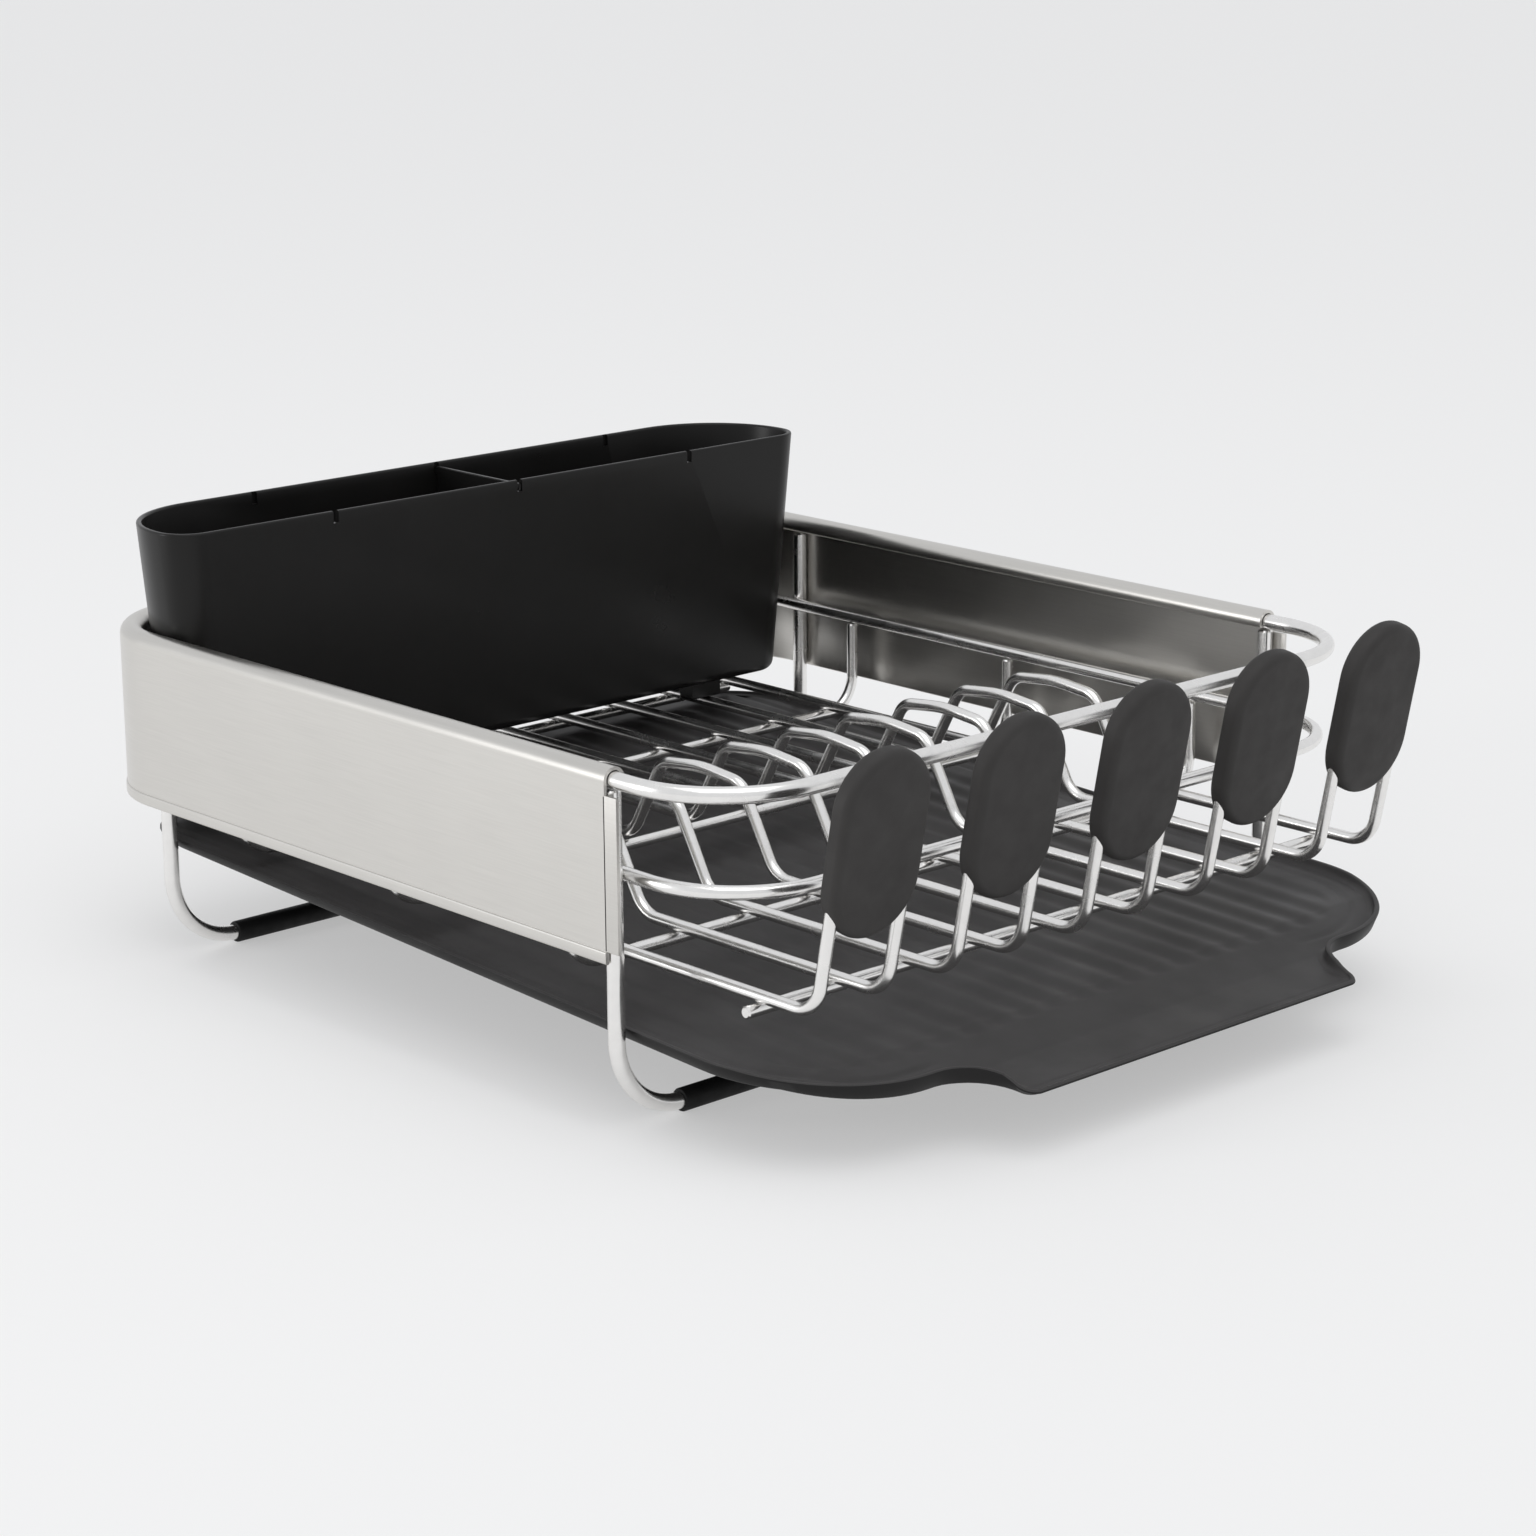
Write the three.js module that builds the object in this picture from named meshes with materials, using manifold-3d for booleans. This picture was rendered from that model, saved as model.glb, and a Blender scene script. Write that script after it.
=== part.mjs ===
// Countertop dish drying rack: stainless wires in a sheet-metal wrap, over a sloped plastic drain tray.
// Millimetres, +Z up. X runs across the rack, the glass holders are at the front (-Y), the caddy at the
// rear. The origin is on the counter, midway between the sides and between the tray lip and the wrap's back.
import * as THREE from 'three'
import { mergeVertices } from 'three/addons/utils/BufferGeometryUtils.js'
import Module from 'manifold-3d'

const wasm = await Module()
wasm.setup()

// ---------------------------------------------------------------- driving dimensions
const GAP = 0.3 // room left between pieces that touch in the real rack
const WELD = 1e-4

const RACK_HALF_WIDTH = 170
const RACK_REAR_Y = 214

const THICK_WIRE = 3 // radii of the three wire stocks
const RAIL_WIRE = 2.5
const THIN_WIRE = 2.25

// Rim wire and the sheet rolled over it
const SHEET = 1.2
const ROLL_INSIDE = THICK_WIRE + GAP
const ROLL_OUTSIDE = ROLL_INSIDE + SHEET
const RIM = {
  halfWidth: RACK_HALF_WIDTH - ROLL_OUTSIDE,
  frontY: -151,
  rearY: RACK_REAR_Y - ROLL_OUTSIDE,
  cornerRadius: 40,
  z: 122.7,
}
const WRAP = {
  bottomZ: 59.9,
  frontY: -107,
  rollSetback: 6,
  rollEndAngle: 200,
  hemHeight: 4.5,
  hemBulge: 0.5,
  hemSetback: 5,
}

// Two U-shaped leg frames and the rubber sleeves they stand on
const LEG_Y = [-100, 162]
const SLEEVE = { radius: 4.3, length: 60, sides: 12, outerEndX: 138 }
const LEG = {
  halfWidth: RIM.halfWidth,
  topZ: RIM.z - THICK_WIRE - GAP,
  bottomZ: SLEEVE.radius * Math.cos(Math.PI / SLEEVE.sides),
  bendRadius: 28,
}

// Mid rail, inside the legs and open at the rear
const MID_RAIL = {
  halfWidth: LEG.halfWidth - THICK_WIRE - GAP - RAIL_WIRE,
  frontY: RIM.frontY,
  rearY: 170,
  cornerRadius: 38,
  z: 89,
}

// Ten floor wires, joined in pairs by the loops of the glass holders
const WIRE_PITCH = 31.6
const HOLDER_COUNT = 5
const FLOOR = { z: 53.6, rearY: 196, bendRadius: 12 }
const ARCH = {
  centreY: -11.5,
  footHalfSpan: 39.5,
  shoulderHalfSpan: 21.8,
  shoulderZ: 85.4,
  crestZ: 87.7,
  shoulderRadius: 9,
  crestRadius: 60,
}
const LOOP = { footY: -172.4, lean: THREE.MathUtils.degToRad(11), rise: 87.4 }
const PAD = { halfWidth: 19.6, length: 66, thickness: 9, edgeRound: 3 }

// Cross wires under the floor wires
const CROSS_Z = FLOOR.z - 2 * THIN_WIRE - GAP
const CROSS = { straightHalfWidth: 148, frontY: -144.5, rearY: 190, bentY: [-68, 31, 123], bendRadius: 15 }

// Drain tray: a grooved floor that falls to a spout, inside a low wall
const TRAY = {
  halfWidth: 161.5,
  rearY: 203,
  rearCornerRadius: 40,
  frontY: -190.5,
  frontCornerRadius: 54,
  spoutHalfWidth: 86.3,
  spoutFilletRadius: 18,
  spoutCornerRadius: 6,
  lipY: -214.5,
  wall: 2,
  floor: 1.8,
  groovePitch: 13.5,
  groovesPerSide: 10,
  grooveWidth: 6.5,
  grooveDepth: 0.8,
  grooveRearY: 184,
  grooveSetback: 18,
}
// Lines seen from the side, as [y, z] points
const TRAY_UNDERSIDE = [[TRAY.rearY, 44], [-165, 28.2], [-190, 23.2], [TRAY.lipY, 21.2]]
const TRAY_RIM = [
  [TRAY.rearY, 46.2],
  [125, 46],
  [-150, 33.7],
  [-185, 30.2],
  [-196, 29],
  [-203, 27.5],
  [-208, 25],
  [TRAY.lipY, 23],
]
const RUNNER = { x: 60, thickness: 3, frontY: -115, rearY: 172 }

// Flatware caddy, with its removable divider
const CADDY = {
  centreX: -3.5,
  centreY: 177.6,
  bottomZ: 63.4,
  rimZ: 166.5,
  bottomHalfLength: 150.5,
  rimHalfLength: 160.5,
  bottomHalfDepth: 24.8,
  rimHalfDepth: 28.2,
  frontCornerRadius: 12,
  rearCornerRadius: 36,
  wall: 2.2,
  bottomRound: 4,
  footX: 3.5 * WIRE_PITCH,
  footHalfSpacing: 15,
  footLength: 16,
  footWidth: 8,
  drainHoleRadius: 3,
  drainHolePitch: 22,
}
const DIVIDER = { thickness: 1.8, dropBelowRim: 1.5, bottomGap: 1, earHeight: 3, placeX: [-91, 0, 91] }

// ---------------------------------------------------------------- materials
const steel = (colour, roughness) =>
  new THREE.MeshStandardMaterial({ color: colour, roughness, metalness: 1 })
const plastic = (colour, roughness) =>
  new THREE.MeshStandardMaterial({ color: colour, roughness, metalness: 0 })

const satinSheet = () => steel(0xcdcac5, 0.38)
const polishedWire = () => steel(0xd9d7d3, 0.22)
const charcoalRubber = () => plastic(0x3d3b3b, 0.75)
const blackRubber = () => plastic(0x151515, 0.8)
const charcoalPlastic = () => plastic(0x474546, 0.55)
const blackPlastic = () => plastic(0x232120, 0.4)

// ---------------------------------------------------------------- geometry helpers
// A wire's centre line: straight runs joined by arcs. Each corner is { at, radius }; a closed path
// joins its last corner to its first. Stations sit only where the wire starts, bends or ends.
class WirePath extends THREE.Curve {
  constructor(corners, { closed = false, step = 15 } = {}) {
    super()
    this.stations = []
    const count = corners.length
    corners.forEach((corner, index) => {
      const previous = corners[(index + count - 1) % count]
      const next = corners[(index + 1) % count]
      const isEnd = !closed && (index === 0 || index === count - 1)
      if (isEnd) this.addEnd(corner, index === 0 ? next : previous, index === 0)
      else this.addBend(previous.at, corner, next.at, THREE.MathUtils.degToRad(step))
    })
    if (closed) this.stations.push(this.stations[0])
    this.steps = this.stations.length - 1
  }

  addEnd(corner, neighbour, isStart) {
    const tangent = isStart ? neighbour.at.clone().sub(corner.at) : corner.at.clone().sub(neighbour.at)
    this.stations.push({ point: corner.at.clone(), tangent: tangent.normalize() })
  }

  addBend(before, corner, after, step) {
    const arriving = corner.at.clone().sub(before).normalize()
    const leaving = after.clone().sub(corner.at).normalize()
    const turn = arriving.angleTo(leaving)
    const start = corner.at.clone().addScaledVector(arriving, -corner.radius * Math.tan(turn / 2))
    const axis = new THREE.Vector3().crossVectors(arriving, leaving).normalize()
    const toCentre = new THREE.Vector3().crossVectors(axis, arriving).multiplyScalar(corner.radius)
    const centre = start.clone().add(toCentre)
    const pieces = Math.max(2, Math.ceil(turn / step))
    for (let piece = 0; piece <= pieces; piece += 1) {
      const angle = (turn * piece) / pieces
      this.stations.push({
        point: start.clone().sub(centre).applyAxisAngle(axis, angle).add(centre),
        tangent: arriving.clone().applyAxisAngle(axis, angle),
      })
    }
  }

  stationAt(fraction) {
    return this.stations[Math.round(fraction * this.steps)]
  }

  getPointAt(fraction, target = new THREE.Vector3()) {
    return target.copy(this.stationAt(fraction).point)
  }

  getTangentAt(fraction, target = new THREE.Vector3()) {
    return target.copy(this.stationAt(fraction).tangent)
  }
}

const corner = (x, y, z, radius = 0) => ({ at: new THREE.Vector3(x, y, z), radius })

// A regular polygon with a flat side towards +X and -X
function roundShape(radius, sides) {
  const points = []
  for (let side = 0; side < sides; side += 1) {
    const angle = ((side + 0.5) / sides) * 2 * Math.PI
    points.push(new THREE.Vector2(radius * Math.cos(angle), radius * Math.sin(angle)))
  }
  return new THREE.Shape(points)
}

function wireGeometry(path, radius, sides = 8) {
  return new THREE.ExtrudeGeometry(roundShape(radius, sides), { steps: path.steps, extrudePath: path })
}

function toSolid(geometry) {
  const bare = geometry.clone()
  bare.deleteAttribute('normal')
  bare.deleteAttribute('uv')
  const merged = mergeVertices(bare, WELD)
  const mesh = new wasm.Mesh({
    numProp: 3,
    vertProperties: new Float32Array(merged.attributes.position.array),
    triVerts: new Uint32Array(merged.index.array),
  })
  return new wasm.Manifold(mesh)
}

function toGeometry(solid) {
  const mesh = solid.getMesh()
  const geometry = new THREE.BufferGeometry()
  geometry.setAttribute('position', new THREE.BufferAttribute(mesh.vertProperties, 3))
  geometry.setIndex(new THREE.BufferAttribute(mesh.triVerts, 1))
  const faceted = geometry.toNonIndexed()
  faceted.computeVertexNormals()
  return faceted
}

// A box given by its low and high corners
function boxSolid(low, high) {
  const size = high.map((value, axis) => value - low[axis])
  const box = new THREE.BoxGeometry(...size)
  return toSolid(box.translate(...low.map((value, axis) => value + size[axis] / 2)))
}

function prismSolid(shape, bottomZ, topZ, curveSegments = 8) {
  const depth = topZ - bottomZ
  const prism = new THREE.ExtrudeGeometry(shape, { depth, bevelEnabled: false, curveSegments })
  return toSolid(prism.translate(0, 0, bottomZ))
}

// A profile drawn as [y, z] points, extruded across X
function acrossSolid(profile, lowX, highX) {
  const shape = new THREE.Shape(profile.map(([y, z]) => new THREE.Vector2(y, z)))
  const slab = new THREE.ExtrudeGeometry(shape, { depth: highX - lowX, bevelEnabled: false })
  const yzToWorld = new THREE.Matrix4().makeBasis(
    new THREE.Vector3(0, 1, 0), new THREE.Vector3(0, 0, 1), new THREE.Vector3(1, 0, 0))
  return toSolid(slab.applyMatrix4(yzToWorld).translate(lowX, 0, 0))
}

// Height at y of a line given as [y, z] points in falling order of y
function heightAt(line, y) {
  const after = line.findIndex(([pointY]) => pointY <= y)
  const [y1, z1] = line[Math.max(after, 1)]
  const [y0, z0] = line[Math.max(after, 1) - 1]
  return THREE.MathUtils.mapLinear(y, y0, y1, z0, z1)
}

const rack = new THREE.Group()
rack.name = 'dish_rack'

function addPiece(name, geometry, material) {
  const mesh = new THREE.Mesh(geometry, material)
  mesh.name = name
  rack.add(mesh)
  return mesh
}

// ---------------------------------------------------------------- rim, wrap and rails
function rimCorners() {
  const { halfWidth, frontY, rearY, cornerRadius, z } = RIM
  return [
    corner(-halfWidth, frontY, z, cornerRadius),
    corner(-halfWidth, rearY, z, cornerRadius),
    corner(halfWidth, rearY, z, cornerRadius),
    corner(halfWidth, frontY, z, cornerRadius),
  ]
}

function addRimWire() {
  const path = new WirePath(rimCorners(), { closed: true, step: 10 })
  addPiece('rim_wire', new THREE.TubeGeometry(path, path.steps, THICK_WIRE, 10, true), polishedWire())
}

// Cross-section of the wrap, drawn with x outward from the rim wire's axis and y as height, then
// turned a quarter: a path in the XY plane carries a shape's x axis downwards and its y axis outwards
function wrapProfile() {
  const rollEnd = THREE.MathUtils.degToRad(WRAP.rollEndAngle)
  const profile = new THREE.Shape()
  profile.moveTo(ROLL_INSIDE, WRAP.bottomZ)
  profile.lineTo(ROLL_OUTSIDE + WRAP.hemBulge, WRAP.bottomZ)
  profile.lineTo(ROLL_OUTSIDE + WRAP.hemBulge, WRAP.bottomZ + WRAP.hemHeight)
  profile.lineTo(ROLL_OUTSIDE, WRAP.bottomZ + WRAP.hemHeight + WRAP.hemBulge)
  profile.lineTo(ROLL_OUTSIDE, RIM.z)
  profile.absarc(0, RIM.z, ROLL_OUTSIDE, 0, rollEnd, false)
  profile.absarc(0, RIM.z, ROLL_INSIDE, rollEnd, 0, true)
  const upright = profile.getPoints(7)
  return new THREE.Shape(upright.map(({ x, y }) => new THREE.Vector2(-y, x)))
}

function addWrapBand() {
  const [frontLeft, rearLeft, rearRight, frontRight] = rimCorners()
  const ends = [frontLeft, frontRight].map(({ at }) => corner(at.x, WRAP.frontY, 0))
  const bends = [rearLeft, rearRight].map(({ at, radius }) => corner(at.x, at.y, 0, radius))
  const path = new WirePath([ends[0], ...bends, ends[1]], { step: 10 })
  const swept = new THREE.ExtrudeGeometry(wrapProfile(), { steps: path.steps, extrudePath: path })
  const beyond = RACK_HALF_WIDTH + 10
  const rollCut = boxSolid(
    [-beyond, WRAP.frontY - 1, RIM.z - ROLL_OUTSIDE],
    [beyond, WRAP.frontY + WRAP.rollSetback, RIM.z + 10])
  const hemCut = boxSolid(
    [-beyond, WRAP.frontY - 1, WRAP.bottomZ - 1],
    [beyond, WRAP.frontY + WRAP.hemSetback, WRAP.bottomZ + WRAP.hemHeight])
  addPiece('wrap_band', toGeometry(toSolid(swept).subtract(rollCut).subtract(hemCut)), satinSheet())
}

function addMidRail() {
  const { halfWidth, frontY, rearY, cornerRadius, z } = MID_RAIL
  const path = new WirePath([
    corner(-halfWidth, rearY, z),
    corner(-halfWidth, frontY, z, cornerRadius),
    corner(halfWidth, frontY, z, cornerRadius),
    corner(halfWidth, rearY, z),
  ])
  addPiece('mid_rail', wireGeometry(path, RAIL_WIRE), polishedWire())
}

// ---------------------------------------------------------------- legs
function addLegFrame(name, y) {
  const { halfWidth, topZ, bottomZ, bendRadius } = LEG
  const path = new WirePath([
    corner(-halfWidth, y, topZ),
    corner(-halfWidth, y, bottomZ, bendRadius),
    corner(halfWidth, y, bottomZ, bendRadius),
    corner(halfWidth, y, topZ),
  ])
  addPiece(name, wireGeometry(path, THICK_WIRE, 10), polishedWire())
}

// A rubber sleeve lies along X with one flat side on the counter
function addSleeve(name, outerEndX, y) {
  const ring = roundShape(SLEEVE.radius, SLEEVE.sides)
  ring.holes.push(roundShape(THICK_WIRE + GAP, SLEEVE.sides))
  const sleeve = new THREE.ExtrudeGeometry(ring, { depth: SLEEVE.length, bevelEnabled: false })
  const mesh = addPiece(name, sleeve, blackRubber())
  mesh.rotation.y = Math.PI / 2
  const leftX = outerEndX < 0 ? outerEndX : outerEndX - SLEEVE.length
  mesh.position.set(leftX, y, LEG.bottomZ)
}

function addLegs() {
  const ends = [['front', LEG_Y[0]], ['rear', LEG_Y[1]]]
  for (const [end, y] of ends) {
    addLegFrame(`leg_frame_${end}`, y)
    addSleeve(`foot_sleeve_${end}_left`, -SLEEVE.outerEndX, y)
    addSleeve(`foot_sleeve_${end}_right`, SLEEVE.outerEndX, y)
  }
}

// ---------------------------------------------------------------- floor wires and glass holders
const loopTop = (rise) => ({
  y: LOOP.footY - rise * Math.sin(LOOP.lean),
  z: FLOOR.z + rise * Math.cos(LOOP.lean),
})

// One floor wire from its rear end, over the arch, to the foot of its loop
function floorWireCorners(x) {
  const { centreY, footHalfSpan, shoulderHalfSpan, shoulderZ, crestZ, shoulderRadius, crestRadius } = ARCH
  return [
    corner(x, FLOOR.rearY, FLOOR.z),
    corner(x, centreY + footHalfSpan, FLOOR.z, FLOOR.bendRadius),
    corner(x, centreY + shoulderHalfSpan, shoulderZ, shoulderRadius),
    corner(x, centreY, crestZ, crestRadius),
    corner(x, centreY - shoulderHalfSpan, shoulderZ, shoulderRadius),
    corner(x, centreY - footHalfSpan, FLOOR.z, FLOOR.bendRadius),
    corner(x, LOOP.footY, FLOOR.z, FLOOR.bendRadius),
  ]
}

const holderX = (index) => (index - (HOLDER_COUNT - 1) / 2) * 2 * WIRE_PITCH

function loopCorners(centreX) {
  const top = loopTop(LOOP.rise)
  const halfPitch = WIRE_PITCH / 2
  return [-halfPitch, halfPitch].map((side) => corner(centreX + side, top.y, top.z, halfPitch - GAP))
}

function addWirePair(name, centreX) {
  const left = floorWireCorners(centreX - WIRE_PITCH / 2)
  const right = floorWireCorners(centreX + WIRE_PITCH / 2).reverse()
  const path = new WirePath([...left, ...loopCorners(centreX), ...right], { step: 20 })
  addPiece(name, wireGeometry(path, THIN_WIRE), polishedWire())
}

function stadium(halfWidth, halfLength) {
  const straight = halfLength - halfWidth
  const shape = new THREE.Shape()
  shape.absarc(0, straight, halfWidth, 0, Math.PI, false)
  shape.absarc(0, -straight, halfWidth, Math.PI, 2 * Math.PI, false)
  return shape
}

// A rubber pad moulded round the top of the loop, which leaves it through the rounded lower end
function addPad(name, centreX) {
  const { halfWidth, length, thickness, edgeRound } = PAD
  const body = new THREE.ExtrudeGeometry(stadium(halfWidth - edgeRound, length / 2 - edgeRound), {
    depth: thickness - 2 * edgeRound,
    bevelThickness: edgeRound,
    bevelSize: edgeRound,
    bevelSegments: 2,
    curveSegments: 9,
  })
  const topRise = LOOP.rise + halfWidth - WIRE_PITCH / 2
  const middle = loopTop(topRise - length / 2)
  body.translate(0, 0, edgeRound - thickness / 2)
  body.rotateX(Math.PI / 2 + LOOP.lean)
  body.translate(centreX, middle.y, middle.z)

  const [leftTop, rightTop] = loopCorners(centreX)
  const foot = loopTop(0)
  const channel = new WirePath([
    corner(leftTop.at.x, foot.y, foot.z),
    leftTop,
    rightTop,
    corner(rightTop.at.x, foot.y, foot.z),
  ], { step: 20 })
  const hollow = toSolid(wireGeometry(channel, THIN_WIRE + GAP))
  addPiece(name, toGeometry(toSolid(body).subtract(hollow)), charcoalRubber())
}

function addHolders() {
  for (let index = 0; index < HOLDER_COUNT; index += 1) {
    addWirePair(`floor_wire_pair_${index + 1}`, holderX(index))
    addPad(`holder_pad_${index + 1}`, holderX(index))
  }
}

// ---------------------------------------------------------------- cross wires
function addStraightCrossWire(name, y) {
  const path = new WirePath([
    corner(-CROSS.straightHalfWidth, y, CROSS_Z),
    corner(CROSS.straightHalfWidth, y, CROSS_Z),
  ])
  addPiece(name, wireGeometry(path, THIN_WIRE), polishedWire())
}

// Its ends turn up and butt against the underside of the mid rail
function addBentCrossWire(name, y) {
  const endZ = MID_RAIL.z - RAIL_WIRE - GAP
  const path = new WirePath([
    corner(-MID_RAIL.halfWidth, y, endZ),
    corner(-MID_RAIL.halfWidth, y, CROSS_Z, CROSS.bendRadius),
    corner(MID_RAIL.halfWidth, y, CROSS_Z, CROSS.bendRadius),
    corner(MID_RAIL.halfWidth, y, endZ),
  ])
  addPiece(name, wireGeometry(path, THIN_WIRE), polishedWire())
}

function addCrossWires() {
  addStraightCrossWire('cross_wire_front', CROSS.frontY)
  addStraightCrossWire('cross_wire_rear', CROSS.rearY)
  CROSS.bentY.forEach((y, index) => addBentCrossWire(`cross_wire_middle_${index + 1}`, y))
}

// ---------------------------------------------------------------- drain tray
// The tray seen from above, shrunk by an inset
function trayOutline(inset) {
  const quarter = Math.PI / 2
  const rearRadius = TRAY.rearCornerRadius - inset
  const rearX = TRAY.halfWidth - TRAY.rearCornerRadius
  const rearY = TRAY.rearY - TRAY.rearCornerRadius
  const frontX = TRAY.halfWidth - TRAY.frontCornerRadius
  const frontY = TRAY.frontY + TRAY.frontCornerRadius
  const filletX = TRAY.spoutHalfWidth + TRAY.spoutFilletRadius
  const filletY = TRAY.frontY - TRAY.spoutFilletRadius
  const filletRadius = TRAY.spoutFilletRadius + inset
  const spoutX = TRAY.spoutHalfWidth - TRAY.spoutCornerRadius
  const spoutY = TRAY.lipY + TRAY.spoutCornerRadius
  const spoutRadius = TRAY.spoutCornerRadius - inset
  const outline = new THREE.Shape()
  outline.absarc(rearX, rearY, rearRadius, 0, quarter, false)
  outline.absarc(-rearX, rearY, rearRadius, quarter, 2 * quarter, false)
  outline.absarc(-frontX, frontY, TRAY.frontCornerRadius - inset, 2 * quarter, 3 * quarter, false)
  outline.absarc(-filletX, filletY, filletRadius, quarter, 0, true)
  outline.absarc(-spoutX, spoutY, spoutRadius, 2 * quarter, 3 * quarter, false)
  outline.absarc(spoutX, spoutY, spoutRadius, 3 * quarter, 4 * quarter, false)
  outline.absarc(filletX, filletY, filletRadius, 2 * quarter, quarter, true)
  outline.absarc(frontX, frontY, TRAY.frontCornerRadius - inset, 3 * quarter, 4 * quarter, false)
  return outline
}

// The slab between two heights, both given as functions of y
function traySlab(lowAt, highAt) {
  const halfWidth = TRAY.halfWidth + 1
  const stops = [...new Set([...TRAY_UNDERSIDE, ...TRAY_RIM].map(([y]) => y))].sort((a, b) => b - a)
  const upper = stops.map((y) => [y, highAt(y)])
  const lower = stops.map((y) => [y, lowAt(y)]).reverse()
  return acrossSolid([...upper, ...lower], -halfWidth, halfWidth)
}

const underside = (y) => heightAt(TRAY_UNDERSIDE, y)
const trayFloor = (y) => underside(y) + TRAY.floor
const trayRim = (y) => heightAt(TRAY_RIM, y)

// Shallow grooves along the floor. Their front ends follow the tray's rounded front corners.
function trayGrooves() {
  const reach = TRAY.frontCornerRadius - TRAY.grooveSetback
  const cornerX = TRAY.halfWidth - TRAY.frontCornerRadius
  const cornerY = TRAY.frontY + TRAY.frontCornerRadius
  const grooves = []
  for (let index = -TRAY.groovesPerSide; index <= TRAY.groovesPerSide; index += 1) {
    const middleX = index * TRAY.groovePitch
    const insideCorner = Math.max(0, Math.abs(middleX) - cornerX)
    const frontY = cornerY - Math.sqrt(reach ** 2 - insideCorner ** 2)
    const bends = TRAY_UNDERSIDE.map(([y]) => y).filter((y) => y < TRAY.grooveRearY && y > frontY)
    const stops = [TRAY.grooveRearY, ...bends, frontY]
    const above = stops.map((y) => [y, trayFloor(y) + 1])
    const bottom = stops.map((y) => [y, trayFloor(y) - TRAY.grooveDepth]).reverse()
    const halfWidth = TRAY.grooveWidth / 2
    grooves.push(acrossSolid([...above, ...bottom], middleX - halfWidth, middleX + halfWidth))
  }
  return grooves
}

// Wedges under the floor, level along the bottom, that ride on the leg frames' cross bars
function trayRunners() {
  const footZ = LEG.bottomZ + THICK_WIRE + GAP
  const { frontY, rearY, thickness } = RUNNER
  const profile = [
    [rearY, underside(rearY) + TRAY.floor / 2],
    [rearY, footZ],
    [frontY, footZ],
    [frontY, underside(frontY) + TRAY.floor / 2],
  ]
  return [-RUNNER.x, RUNNER.x].map((x) => acrossSolid(profile, x - thickness / 2, x + thickness / 2))
}

function addDrainTray() {
  const above = 60
  const outside = prismSolid(trayOutline(0), 0, above)
  const inside = prismSolid(trayOutline(TRAY.wall), 0, above)
  const block = outside.intersect(traySlab(underside, trayRim))
  const basin = inside.intersect(traySlab(trayFloor, () => above))
  let tray = block.subtract(basin)
  for (const runner of trayRunners()) tray = tray.add(runner)
  for (const groove of trayGrooves()) tray = tray.subtract(groove)
  addPiece('drain_tray', toGeometry(tray), charcoalPlastic())
}

// ---------------------------------------------------------------- flatware caddy
// How much the caddy has flared at a height, from 0 at its bottom to 1 at its rim
const flareAt = (z) => (z - CADDY.bottomZ) / (CADDY.rimZ - CADDY.bottomZ)
const caddyHalfDepth = (z) =>
  THREE.MathUtils.lerp(CADDY.bottomHalfDepth, CADDY.rimHalfDepth, flareAt(z))

// The caddy's bottom seen from above, shrunk by an inset: tight corners in front, wide ones at the rear
function caddyPlan(inset) {
  const quarter = Math.PI / 2
  const front = CADDY.frontCornerRadius - inset
  const rear = CADDY.rearCornerRadius - inset
  const frontX = CADDY.bottomHalfLength - CADDY.frontCornerRadius
  const frontY = CADDY.frontCornerRadius - CADDY.bottomHalfDepth
  const rearX = CADDY.bottomHalfLength - CADDY.rearCornerRadius
  const rearY = CADDY.bottomHalfDepth - CADDY.rearCornerRadius
  const plan = new THREE.Shape()
  plan.absarc(rearX, rearY, rear, 0, quarter, false)
  plan.absarc(-rearX, rearY, rear, quarter, 2 * quarter, false)
  plan.absarc(-frontX, frontY, front, 2 * quarter, 3 * quarter, false)
  plan.absarc(frontX, frontY, front, 3 * quarter, 4 * quarter, false)
  return plan
}

// A tub with rounded bottom edges and drafted sides, open upwards for a cavity
function drafted(inset, bottomZ, topZ) {
  const round = CADDY.bottomRound
  const tub = new THREE.ExtrudeGeometry(caddyPlan(inset + round), {
    depth: topZ - bottomZ,
    bevelThickness: round,
    bevelSize: round,
    bevelSegments: 2,
    curveSegments: 6,
  })
  tub.translate(0, 0, bottomZ + round)
  const position = tub.attributes.position
  for (let index = 0; index < position.count; index += 1) {
    const flare = flareAt(position.getZ(index))
    const stretchX = flare * (CADDY.rimHalfLength - CADDY.bottomHalfLength) / CADDY.bottomHalfLength
    const stretchY = flare * (CADDY.rimHalfDepth - CADDY.bottomHalfDepth) / CADDY.bottomHalfDepth
    position.setX(index, position.getX(index) * (1 + stretchX))
    position.setY(index, position.getY(index) * (1 + stretchY))
  }
  return toSolid(tub)
}

function caddyFeet() {
  const bottom = FLOOR.z + THIN_WIRE + GAP
  const feet = []
  for (const x of [-CADDY.footX, CADDY.footX]) {
    for (const y of [-CADDY.footHalfSpacing, CADDY.footHalfSpacing]) {
      feet.push(boxSolid(
        [x - CADDY.footLength / 2, y - CADDY.footWidth / 2, bottom],
        [x + CADDY.footLength / 2, y + CADDY.footWidth / 2, CADDY.bottomZ + 1]))
    }
  }
  return feet
}

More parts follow.
